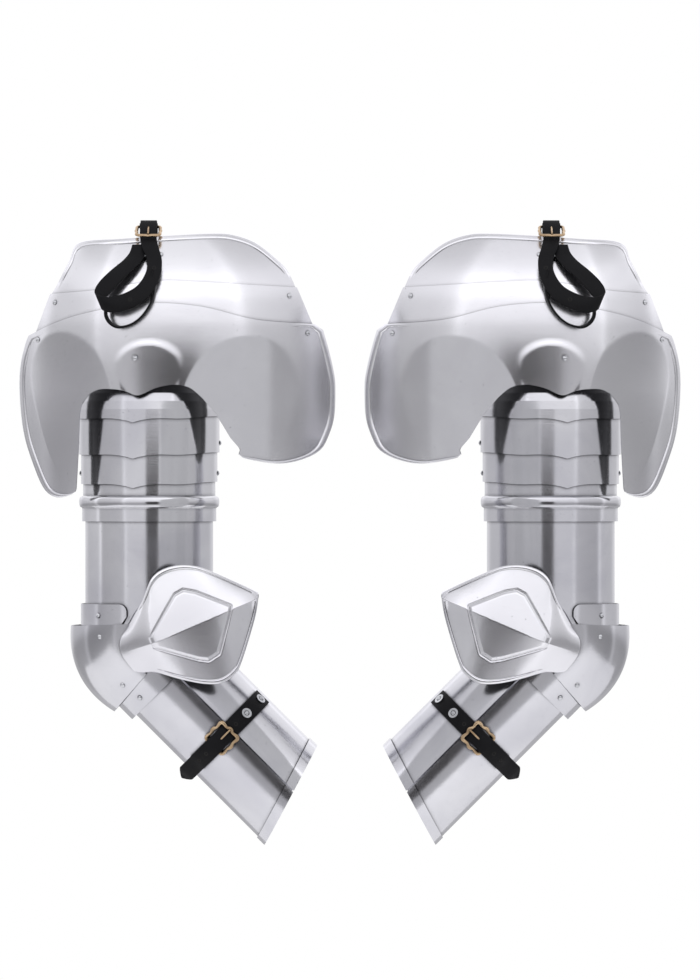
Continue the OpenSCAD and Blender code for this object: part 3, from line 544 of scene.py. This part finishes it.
# The place function sets a buckle drawn flat about its own centre where it belongs.
def buckle(side, name, place, body, node, wavy):
    points = []
    for k in range(frame_steps):
        a = 2 * math.pi * k / frame_steps
        c, s = math.cos(a), math.sin(a)
        r = buckle_reach / (abs(c) ** squareness + abs(s) ** squareness) ** (1 / squareness)
        wave = swell_out * wavy * math.cos(swells * a)
        points.append(place(((r + wave) * c, (r + wave) * s, 0)))
    ring, faces = [], []
    for k in range(frame_steps):
        along = (points[(k + 1) % frame_steps] - points[k - 1]).normalized()
        up = (place((0, 0, 1)) - place((0, 0, 0))).normalized()
        out = along.cross(up).normalized()
        a = 2 * math.pi * k / frame_steps
        half_wide = frame_half_wide + swell_wide * wavy * math.cos(swells * a)
        for j in range(frame_sides):
            b = 2 * math.pi * j / frame_sides
            ring.append(points[k] + out * math.cos(b) * half_wide
                        + up * math.sin(b) * frame_half_thick)
        for j in range(frame_sides):
            q, n = (j + 1) % frame_sides, (k + 1) % frame_steps
            faces.append((k * frame_sides + j, n * frame_sides + j, n * frame_sides + q,
                          k * frame_sides + q))
    piece(side, name, ring, faces, brass, body, [node], 60)


# A round bar along a path, with a radius for each of its points.
def tube(path, radii, around):
    points, faces, n = [], [], len(path)
    ref = Vector((0, -1, 0))
    for i, p in enumerate(path):
        d = (Vector(path[min(i + 1, n - 1)]) - Vector(path[max(i - 1, 0)])).normalized()
        u = (ref - d * ref.dot(d))
        u = (u if u.length > 0.05 else Vector((1, 0, 0)) - d * d[0]).normalized()
        v = d.cross(u)
        ref = u
        for k in range(around):
            a = 2 * math.pi * k / around
            points.append(Vector(p) + (u * math.cos(a) + v * math.sin(a)) * radii[i])
    for i in range(n - 1):
        for k in range(around):
            q = (k + 1) % around
            faces.append((i * around + k, i * around + q, (i + 1) * around + q,
                          (i + 1) * around + k))
    faces.append(tuple(reversed(range(around))))
    faces.append(tuple(range((n - 1) * around, n * around)))
    return points, faces


prong_r, point_r = 1.15, 0.8
hook_r = 2.0


def prong(side, name, place, body, node):
    path = [(0, -buckle_reach - hook_r * math.sin(math.radians(b)),
             hook_r * math.cos(math.radians(b))) for b in (150, 120, 90, 60, 30)]
    path += [(0, -buckle_reach + 1.5, 2.15), (0, -4, 2.45), (0, 4, 2.7),
             (0, buckle_reach - 2, 2.95), (0, buckle_reach + 0.6, 2.85)]
    fine = curve(path, 4)
    radii = [prong_r - (prong_r - point_r) * ramp(i / len(fine), 0.75, 1.0)
             for i in range(len(fine))]
    points, faces = tube([place(p) for p in fine], radii, 14)
    piece(side, name, points, faces, brass, body, [node], 60)


def at_shoulder(p):
    y, z = -p[1], p[2]
    return Vector((1 - p[0], buckle_y + y * math.cos(buckle_tilt) - z * math.sin(buckle_tilt),
                   buckle_z + y * math.sin(buckle_tilt) + z * math.cos(buckle_tilt)))


for side in sides:
    buckle(side, "shoulder_buckle_brass", at_shoulder, f"{side}_shoulder_frame",
           f"{side}_shoulder_buckle", wavy=0.35)
    prong(side, "shoulder_prong_brass", at_shoulder, f"{side}_shoulder_tongue",
          f"{side}_shoulder_prong")

# Hanging leather. A wide black leather behind the boss joins the centre rivet of the main
# plate to the top arm lame. It hangs the arm from the shoulder cap, and bends between them.
leather_x, leather_wide = -12, 26
leather_top_y = skin_y(-12, -133) + 7.2
for side in sides:
    middle = curve([(leather_x, leather_top_y, -124), (leather_x, leather_top_y, -138),
                    (leather_x, -74.4, -153), (leather_x, -76.2, -167)], 6)
    hide = band(side, "hanging_leather_hide", middle, [(1, 0, 0)] * len(middle), leather_wide,
                strap_thick, f"{side}_leather", [f"{side}_hanging_leather"])
    hide.parent = None
    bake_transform(hide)

# Elbow cop. The cup over the point of the elbow is raised from one steel sheet: its wall
# follows a quarter bend behind the elbow and wraps round both sides, fullest in the middle.
# Rivets at its sides hold it to the lames above and below.
# Its painted crease shade is stronger than on the other metals.
steel = metal("polished steel", clear=(0.74, 0.74, 0.765), clouded=(0.60, 0.60, 0.64),
              smooth=0.11, dull=0.22, marks=42, depth=0.04, patch=9, deepest=0.58)
bend_x, bend_z = 47.3, -408.5
cop_top_r, cop_low_r = 72.2, 63
cop_from, cop_angle = 2.5, 46.5
cop_outer = 128.3
cop_wrap = 82


# A point of the cop at angle a down the bend and b round the arm, at a depth under its face.
def cop_point(a, b, depth):
    down = (a - cop_from) / cop_angle
    r = cop_top_r + (cop_low_r - cop_top_r) * down
    q = cop_outer - r + (r - depth) * math.cos(math.radians(b))
    q += (2 + 5 * math.sin(math.pi * down) - 2 * down) * math.cos(math.radians(b)) ** 2
    return Vector((bend_x - q * math.cos(math.radians(a)),
                   -(r - depth) * math.sin(math.radians(b)),
                   bend_z - q * math.sin(math.radians(a))))


cop_rows, cop_cols = 60, 120
for side in sides:
    rows = [cop_from + cop_angle * i / cop_rows for i in range(cop_rows + 1)]
    cols = [-cop_wrap + 2 * cop_wrap * j / cop_cols for j in range(cop_cols + 1)]
    points, faces = sheet([[cop_point(a, b, 0) for b in cols] for a in rows],
                          [[cop_point(a, b, plate) for b in cols] for a in rows])
    piece(side, "couter_cop_steel", points, faces, steel, f"{side}_elbow",
          [f"{side}_couter"])

# Elbow wing. The plate that guards the crook of the elbow is one with the cop. Its two faces
# meet in a ridge that runs to the tip, with a pressed panel inside a groove, a rolled rim and a
# domed root where it leaves the cup.
wing_top = [[-20, -411], [-14, -400], [-4.7, -385.4], [5.8, -362.3], [21.5, -351.8],
            [43.6, -349.2], [67.7, -356], [116.3, -377.6]]
wing_low = [[-14, -461], [-6, -462.5], [8.9, -462], [33, -468.3], [59.3, -473.6], [78.2, -473],
            [91.9, -464], [99.2, -451], [112.9, -406], [117.2, -381.5]]
ridge_root, ridge_tip = (-16, -441.8), (115, -384.6)
panel = [(4.7, -425.3), (29.9, -381.2), (38.3, -376.5), (50.9, -378.7), (87.7, -392.7),
         (83.5, -410.6), (75.1, -441.6), (64.6, -448.4), (54.1, -447), (8.5, -434.7)]
root_y = -67.5
edge_lift, ridge_lift, tip_drop = 21, 9, 10
panel_high, groove_deep = 0.9, 1.1
wing_roll_height, wing_roll_middle, wing_roll_half, wing_roll_end = 1.5, 2.4, 2.5, 4.9
wing_thick = 1.6
root_bow = 12


# Where the ridge crosses a row, as a share of the way from the low line to the top line.
def ridge_share(low, top):
    dx, dz = ridge_tip[0] - ridge_root[0], ridge_tip[1] - ridge_root[1]
    a, b = (dx * (p[1] - ridge_root[1]) - dz * (p[0] - ridge_root[0]) for p in (low, top))
    return min(0.98, max(0.02, -a / (b - a))) if abs(b - a) > 1e-6 else 0.5


# Distance to the panel's outline, less than nothing outside it.
def panel_distance(x, z):
    best, inside = 1e9, False
    for (x1, z1), (x2, z2) in zip(panel, panel[1:] + panel[:1]):
        dx, dz = x2 - x1, z2 - z1
        u = max(0, min(1, ((x - x1) * dx + (z - z1) * dz) / (dx ** 2 + dz ** 2)))
        best = min(best, math.hypot(x - x1 - u * dx, z - z1 - u * dz))
        if (z1 > z) != (z2 > z) and x < dx * (z - z1) / dz + x1:
            inside = not inside
    return best if inside else -best


# The wing's outer face: s runs from the root to the tip, t from the low line to the top line.
def wing_y(s, t, ridge_t, x, z):
    edge = t / ridge_t if t < ridge_t else (1 - t) / (1 - ridge_t)
    rise = math.sin(math.radians(90 * min(1, s / 0.2)))
    lift = edge_lift + ridge_lift * edge * math.sin(math.radians(min(90, 260 * s)))
    lift -= tip_drop * s * s
    d = panel_distance(x, z)
    u = ramp(d, -0.6, 1.6)
    pressed = panel_high * u * u * (3 - 2 * u) - groove_deep * math.exp(-((d + 1.1) / 1.0) ** 2)
    return root_y - rise * lift - pressed * ramp(s, 0.12, 0.2)


# Rows of the wing from its root to its tip, as steps along its lines, closer near the tip.
line_steps = 1600
wing_field = 108
wing_long = 100
wing_rows = [round(k * 7.7) for k in range(201)]
wing_rows += [1547, 1554, 1560, 1567, 1574, 1581, 1588, 1594, 1600]
wing_border = (0, 0.4, 0.9, 1.6, 2.4, 3.2, 3.9, 4.4, 4.9, 5.6)
for side in sides:
    low_line = even(curve(wing_low, 6), line_steps)
    top_line = even(curve(wing_top, 6), line_steps)
    outer, inner = [], []
    for i in wing_rows:
        s, a, b = i / line_steps, low_line[i], top_line[i]
        ridge_t = ridge_share(a, b)
        length = max(math.dist(a, b), 1e-6)
        border = [min(0.45, e / length) for e in wing_border]
        ts = border + [0.5 + (2 * k / wing_field - 1) * (0.5 - border[-1]) * 0.99
                       for k in range(wing_field + 1)]
        ts += [1 - e for e in reversed(border)]
        between = range(len(border) + 2, len(border) + wing_field - 2)
        ts[min(between, key=lambda k: abs(ts[k] - ridge_t))] = ridge_t
        root = 1 - ramp(s, 0, 0.3)
        outer_row, inner_row = [], []
        for t in ts:
            x, z = a[0] + (b[0] - a[0]) * t, a[1] + (b[1] - a[1]) * t
            e = min(min(t, 1 - t) * length, (1 - s) * wing_long)
            roll = 0
            if e < wing_roll_end:
                u = (e - wing_roll_middle) / wing_roll_half
                roll = wing_roll_height * math.sqrt(max(0, 1 - u ** 2)) * ramp(s, 0.1, 0.2)
            arc = math.sqrt(math.sin(math.pi * t)) if 0 < t < 1 else 0
            x -= root_bow * root ** 2 * arc ** 2
            y = wing_y(s, t, ridge_t, x, z)
            y += (root_y - y) * (1 - arc) * root ** 1.5
            outer_row.append((x, y - roll, z))
            inner_row.append((x, y + wing_thick, z))
        outer.append(outer_row)
        inner.append(inner_row)
    points, faces = sheet(outer, inner)
    # The wing takes the paler satin steel with its painted light and its hollow side's painted
    # shade, though it is one sheet with the cop.
    piece(side, "couter_wing_steel", points, faces, satin_painted_paler, f"{side}_elbow",
          [f"{side}_couter"], 75)

# Vambrace strap. A black leather riveted to the front shell lies round it, passes up through
# the buckle and over its hinge bar, and ends in a cut point that stands off the arm. It is
# punched for the prong.
elbow_z = -444
fore_r, strap_at = 55.5, -117
strap_half_wide = 9.3


# Forearm pieces are drawn upright about the forearm's axis, then bent 45 degrees forward.
def fore(p):
    c = math.sqrt(0.5)
    return Vector((c * p[0] - c * p[2], p[1], c * p[0] + c * p[2] + elbow_z))


# The place of a point drawn flat on the forearm, at angle a round it and height h above it.
def on_fore(a, h):
    a = math.radians(a)
    return lambda p: fore(((fore_r + h + p[2]) * math.sin(a) + p[0] * math.cos(a),
                           -(fore_r + h + p[2]) * math.cos(a) + p[0] * math.sin(a),
                           strap_at + p[1]))


def ring(r, a):
    return (r * math.sin(math.radians(a)), -r * math.cos(math.radians(a)))


r = fore_r + strap_thick / 2 + 0.3
strap_path = [ring(r, a) for a in range(69, 8, -5)] + [ring(r + 0.1, 3)]
strap_path += [ring(r + 3, -5), ring(r + 6.6, -12), ring(r + 8.3, -19), ring(r + 8.2, -28),
               ring(r + 7.4, -38), ring(r + 6.6, -48), (-58, -32), (-67, -21)]
strap_steps, point_from = 110, 102
strap_path = even(curve(strap_path, 6), strap_steps)
# Angle and height of each punched hole.
fore_holes = ((14, 2.3), (-27, 10.6), (-38, 9.8))
for side in sides:
    points = []
    for i, p in enumerate(strap_path):
        after, before = strap_path[min(i + 1, strap_steps)], strap_path[max(i - 1, 0)]
        d = Vector((after[0] - before[0], after[1] - before[1])).normalized()
        taper = 1 - 0.92 * ramp(i, point_from, strap_steps) ** 1.4
        for u, v in strap_section:
            points.append(fore((p[0] + d[1] * v * strap_thick, p[1] - d[0] * v * strap_thick,
                                strap_at + u * strap_half_wide * taper)))
    faces = [tuple(reversed(f)) for f in strap_faces(len(strap_path))]
    piece(side, "vambrace_strap_leather", points, faces, leather, f"{side}_forearm_front",
          [f"{side}_vambrace_strap"], 50)
    for k, (a, h) in enumerate(fore_holes):
        at = on_fore(a, h)
        hole(side, f"vambrace_strap_hole_{k + 1}", at((0, 0, 0.05)), at((0, 0, 1)) - at((0, 0, 0)),
             f"{side}_forearm_front")

# Vambrace chape. A short black leather is riveted to the rear shell and folded round the
# buckle's hinge bar, slotted in the middle for the prong.
buckle_a, buckle_h = -6.5, 3.1
turn = math.radians(buckle_a)
forward, outward = (math.cos(turn), math.sin(turn)), (math.sin(turn), -math.cos(turn))
middle = ring(fore_r + buckle_h, buckle_a)
pin = [middle[k] - buckle_reach * forward[k] for k in (0, 1)]
fore_fold = [ring(fore_r + chape_thick / 2 + 0.2, a) for a in range(-52, -26, 5)]
fore_fold += [tuple(pin[k] + fold_r * (math.cos(math.radians(b)) * forward[k]
                                       + math.sin(math.radians(b)) * outward[k])
                    for k in (0, 1)) for b in range(-90, 131, 15)]
across = fore((0, 0, 1)) - fore((0, 0, 0))
for side in sides:
    for tag, h, wide, part in (("a", -5.9, 7.2, fore_fold), ("b", 5.9, 7.2, fore_fold),
                               ("c", 0, 4.8, fore_fold[:5])):
        band(side, f"vambrace_chape_leather_{tag}",
             [fore((p[0], p[1], strap_at + h)) for p in part], [across] * len(part), wide,
             chape_thick, f"{side}_forearm", [f"{side}_vambrace_chape"])


# Vambrace buckle. The same square brass frame and prong as at the shoulder, cast with stronger
# swells, so that each side waves. It hinges in the chape and lies over the strap.
def at_forearm(p):
    return on_fore(buckle_a, buckle_h)((p[1], -p[0], p[2]))


for side in sides:
    buckle(side, "vambrace_buckle_brass", at_forearm, f"{side}_fore_frame",
           f"{side}_vambrace_buckle", wavy=1)
    prong(side, "vambrace_prong_brass", at_forearm, f"{side}_fore_tongue",
          f"{side}_vambrace_prong")

# Bead of the upper cannon. Where the two cannons turn on each other, the upper one is swelled
# into a round bead of the same sheet steel, drawn here as a half round over its wall.
bead_steps = 96
bead_wall_r, bead_round = 72.3, 1.9
bead_z, bead_half = -283.5, 5.6
for side in sides:
    profile = [(bead_wall_r + bead_round * math.sin(math.radians(a)),
                bead_z + bead_half * math.cos(math.radians(a))) for a in range(180, -1, -15)]
    turns = [2 * math.pi * k / bead_steps for k in range(bead_steps)]
    points = [(r * math.cos(a), r * math.sin(a), z) for a in turns for r, z in profile]
    m = len(profile)
    faces = [(k * m + j, (k + 1) % bead_steps * m + j, (k + 1) % bead_steps * m + (j + 1) % m,
              k * m + (j + 1) % m) for k in range(bead_steps) for j in range(m)]
    piece(side, "cannon_bead_steel", points, faces, steel, f"{side}_upper_arm",
          angle=60)

# Arm lames, cannons, elbow lames and vambrace shells. They are plain bent steel plates, held
# by the rivets at their sides, and they and their rivets keep the forms of the CAD nodes.
# Only their finish is set here.
for name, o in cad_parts.items():
    if o.hide_render:
        continue
    small = "rivets" in name
    for finish in o.material_slots:
        finish.material = rivet_steel if small else steel

# Studio. The pair hangs before plain white, and the steel shows pale surroundings with dark
# gaps at both sides, which are painted here by angle round the pair and by height.
studio = bpy.data.worlds.new("studio")
scene.world = studio
studio.use_nodes = True
t = studio.node_tree
t.nodes.clear()
out = add(t, "OutputWorld")
coords = add(t, "TexCoord")
axes = add(t, "SeparateXYZ")
t.links.new(coords.outputs["Generated"], axes.inputs["Vector"])
to_front = add(t, "Math")
to_front.operation = "MULTIPLY"
to_front.inputs[1].default_value = -1.0
t.links.new(axes.outputs["Y"], to_front.inputs[0])
bearing = add(t, "Math")
bearing.operation = "ARCTAN2"
t.links.new(axes.outputs["X"], bearing.inputs[0])
t.links.new(to_front.outputs["Value"], bearing.inputs[1])
around = add(t, "MapRange", From_Min=-math.pi, From_Max=math.pi)
t.links.new(bearing.outputs["Value"], around.inputs["Value"])
height = add(t, "MapRange", From_Min=-1.0)
t.links.new(axes.outputs["Z"], height.inputs["Value"])


# A colour ramp through (position, brightness) stops, with a tint.
def tones(stops, tint):
    made = add(t, "ValToRGB")
    elements = made.color_ramp.elements
    while len(elements) < len(stops):
        elements.new(0.5)
    for e, (position, v) in zip(elements, stops):
        e.position = position
    for e, (position, v) in zip(elements, stops):
        e.color = (v * tint[0], v * tint[1], v * tint[2], 1)
    return made


# Brightness at angles from the front, in degrees, the same on both sides.
by_angle = [(0, 0.80), (38, 0.78), (41, 1.1), (45, 0.62), (92, 0.52), (97, 1.05), (103, 0.68),
            (140, 0.64), (152, 0.8)]
bands = tones([(0.5 - a / 360, v) for a, v in reversed(by_angle[1:])]
              + [(0.5 + a / 360, v) for a, v in by_angle], (1, 0.995, 1.03))
t.links.new(around.outputs["Result"], bands.inputs["Fac"])
# Strength from straight below at -1 to straight above at 1.
by_height = [(-1, 0.85), (-0.5, 0.72), (-0.2, 0.58), (-0.12, 0.6), (-0.04, 0.95), (0.05, 1.05),
             (0.12, 1.28), (0.33, 1.28), (0.42, 1.65), (0.6, 1.6), (0.72, 1.25), (0.85, 1.12),
             (1, 1.05)]
layers = tones([((z + 1) / 2, v) for z, v in by_height], (1, 1, 1))
t.links.new(height.outputs["Result"], layers.inputs["Fac"])
seen = add(t, "Background", Color=(1, 1, 1, 1), Strength=1.0)
lit = add(t, "Background")
t.links.new(bands.outputs["Color"], lit.inputs["Color"])
t.links.new(layers.outputs["Color"], lit.inputs["Strength"])
ray = add(t, "LightPath")
pick = add(t, "MixShader")
t.links.new(ray.outputs["Is Camera Ray"], pick.inputs["Fac"])
t.links.new(lit.outputs["Background"], pick.inputs[1])
t.links.new(seen.outputs["Background"], pick.inputs[2])
t.links.new(pick.outputs["Shader"], out.inputs["Surface"])


# A flat prop of the studio, with a soft mottle between two colours. A hidden one shows only in
# the metal.
def prop(name, corners, material, scale, dark, pale, socket="Base Color", hidden=True):
    mesh = bpy.data.meshes.new(name)
    mesh.from_pydata(corners, [], [(0, 1, 2, 3)])
    o = bpy.data.objects.new(name, mesh)
    scene.collection.objects.link(o)
    if hidden:
        o.visible_camera = o.visible_diffuse = o.visible_shadow = False
    m = bpy.data.materials.new(material)
    m.use_nodes = True
    t = m.node_tree
    mottle = add(t, "TexNoise", Scale=scale)
    tint = add(t, "Mix", A=(*dark, 1), B=(*pale, 1))
    t.links.new(mottle.outputs["Fac"], tint.inputs["Factor"])
    skin = t.nodes["Principled BSDF"]
    t.links.new(tint.outputs["Result"], skin.inputs[socket])
    mesh.materials.append(m)
    return skin


# The pale floor, well below the pair.
prop("floor", [(-2, -1.5, -1.25), (2, -1.5, -1.25), (2, 0.9, -1.25), (-2, 0.9, -1.25)],
     "pale floor", 3.0, (0.78, 0.78, 0.78), (0.84, 0.84, 0.84), hidden=False)

# A dark upright card in front of the pair, which gives each arm one dark band.
card_cloth = prop("card", [(-0.33, -1.73, -0.9), (0.33, -1.73, -0.9), (0.33, -1.73, -0.2),
                           (-0.33, -1.73, -0.2)],
                  "dark cloth", 4.0, (0.01, 0.01, 0.01), (0.05, 0.045, 0.045))
card_cloth.inputs["Roughness"].default_value = 0.9

# A grey screen on edge between the two arms, which tones down their inner sides.
screen_gauze = prop("screen", [(0, -0.62, -0.95), (0, -0.12, -0.95), (0, -0.12, -0.12),
                               (0, -0.62, -0.12)],
                    "grey gauze", 5.0, (0.40, 0.40, 0.415), (0.60, 0.60, 0.62),
                    "Emission Color")
screen_gauze.inputs["Base Color"].default_value = (0, 0, 0, 1)
screen_gauze.inputs["Emission Strength"].default_value = 1.0

# Soft lamps: place, size and power. All point at the middle of the pair.
lamps = (("key", (-0.9, -2.4, 0.9), 0.9, 22), ("fill", (1.3, -2.2, 0.3), 1.2, 12),
         ("top", (0.0, -0.4, 1.8), 1.6, 14))
pair_middle = Vector((0, 0, -0.25))
for name, where, size, power in lamps:
    lamp = bpy.data.lights.new(name, "AREA")
    lamp.size = size
    lamp.energy = power
    o = bpy.data.objects.new(name, lamp)
    scene.collection.objects.link(o)
    o.location = where
    o.visible_glossy = False
    o.rotation_euler = (pair_middle - Vector(where)).to_track_quat("-Z", "Y").to_euler()

# The camera stands 7 m before the plates' fronts, where 1.029 m of height fills the picture.
picture_height, plates_distance, plates_y = 1.029, 7.0, -0.06
lens = bpy.data.cameras.new("camera")
lens.sensor_fit = "VERTICAL"
lens.sensor_height = 36
lens.lens = lens.sensor_height * plates_distance / picture_height
camera = bpy.data.objects.new("camera", lens)
scene.collection.objects.link(camera)
camera.location = (0, plates_y - plates_distance, -0.2709)
camera.rotation_euler = (math.pi / 2, 0, 0)
scene.camera = camera
scene.view_settings.view_transform = "Standard"
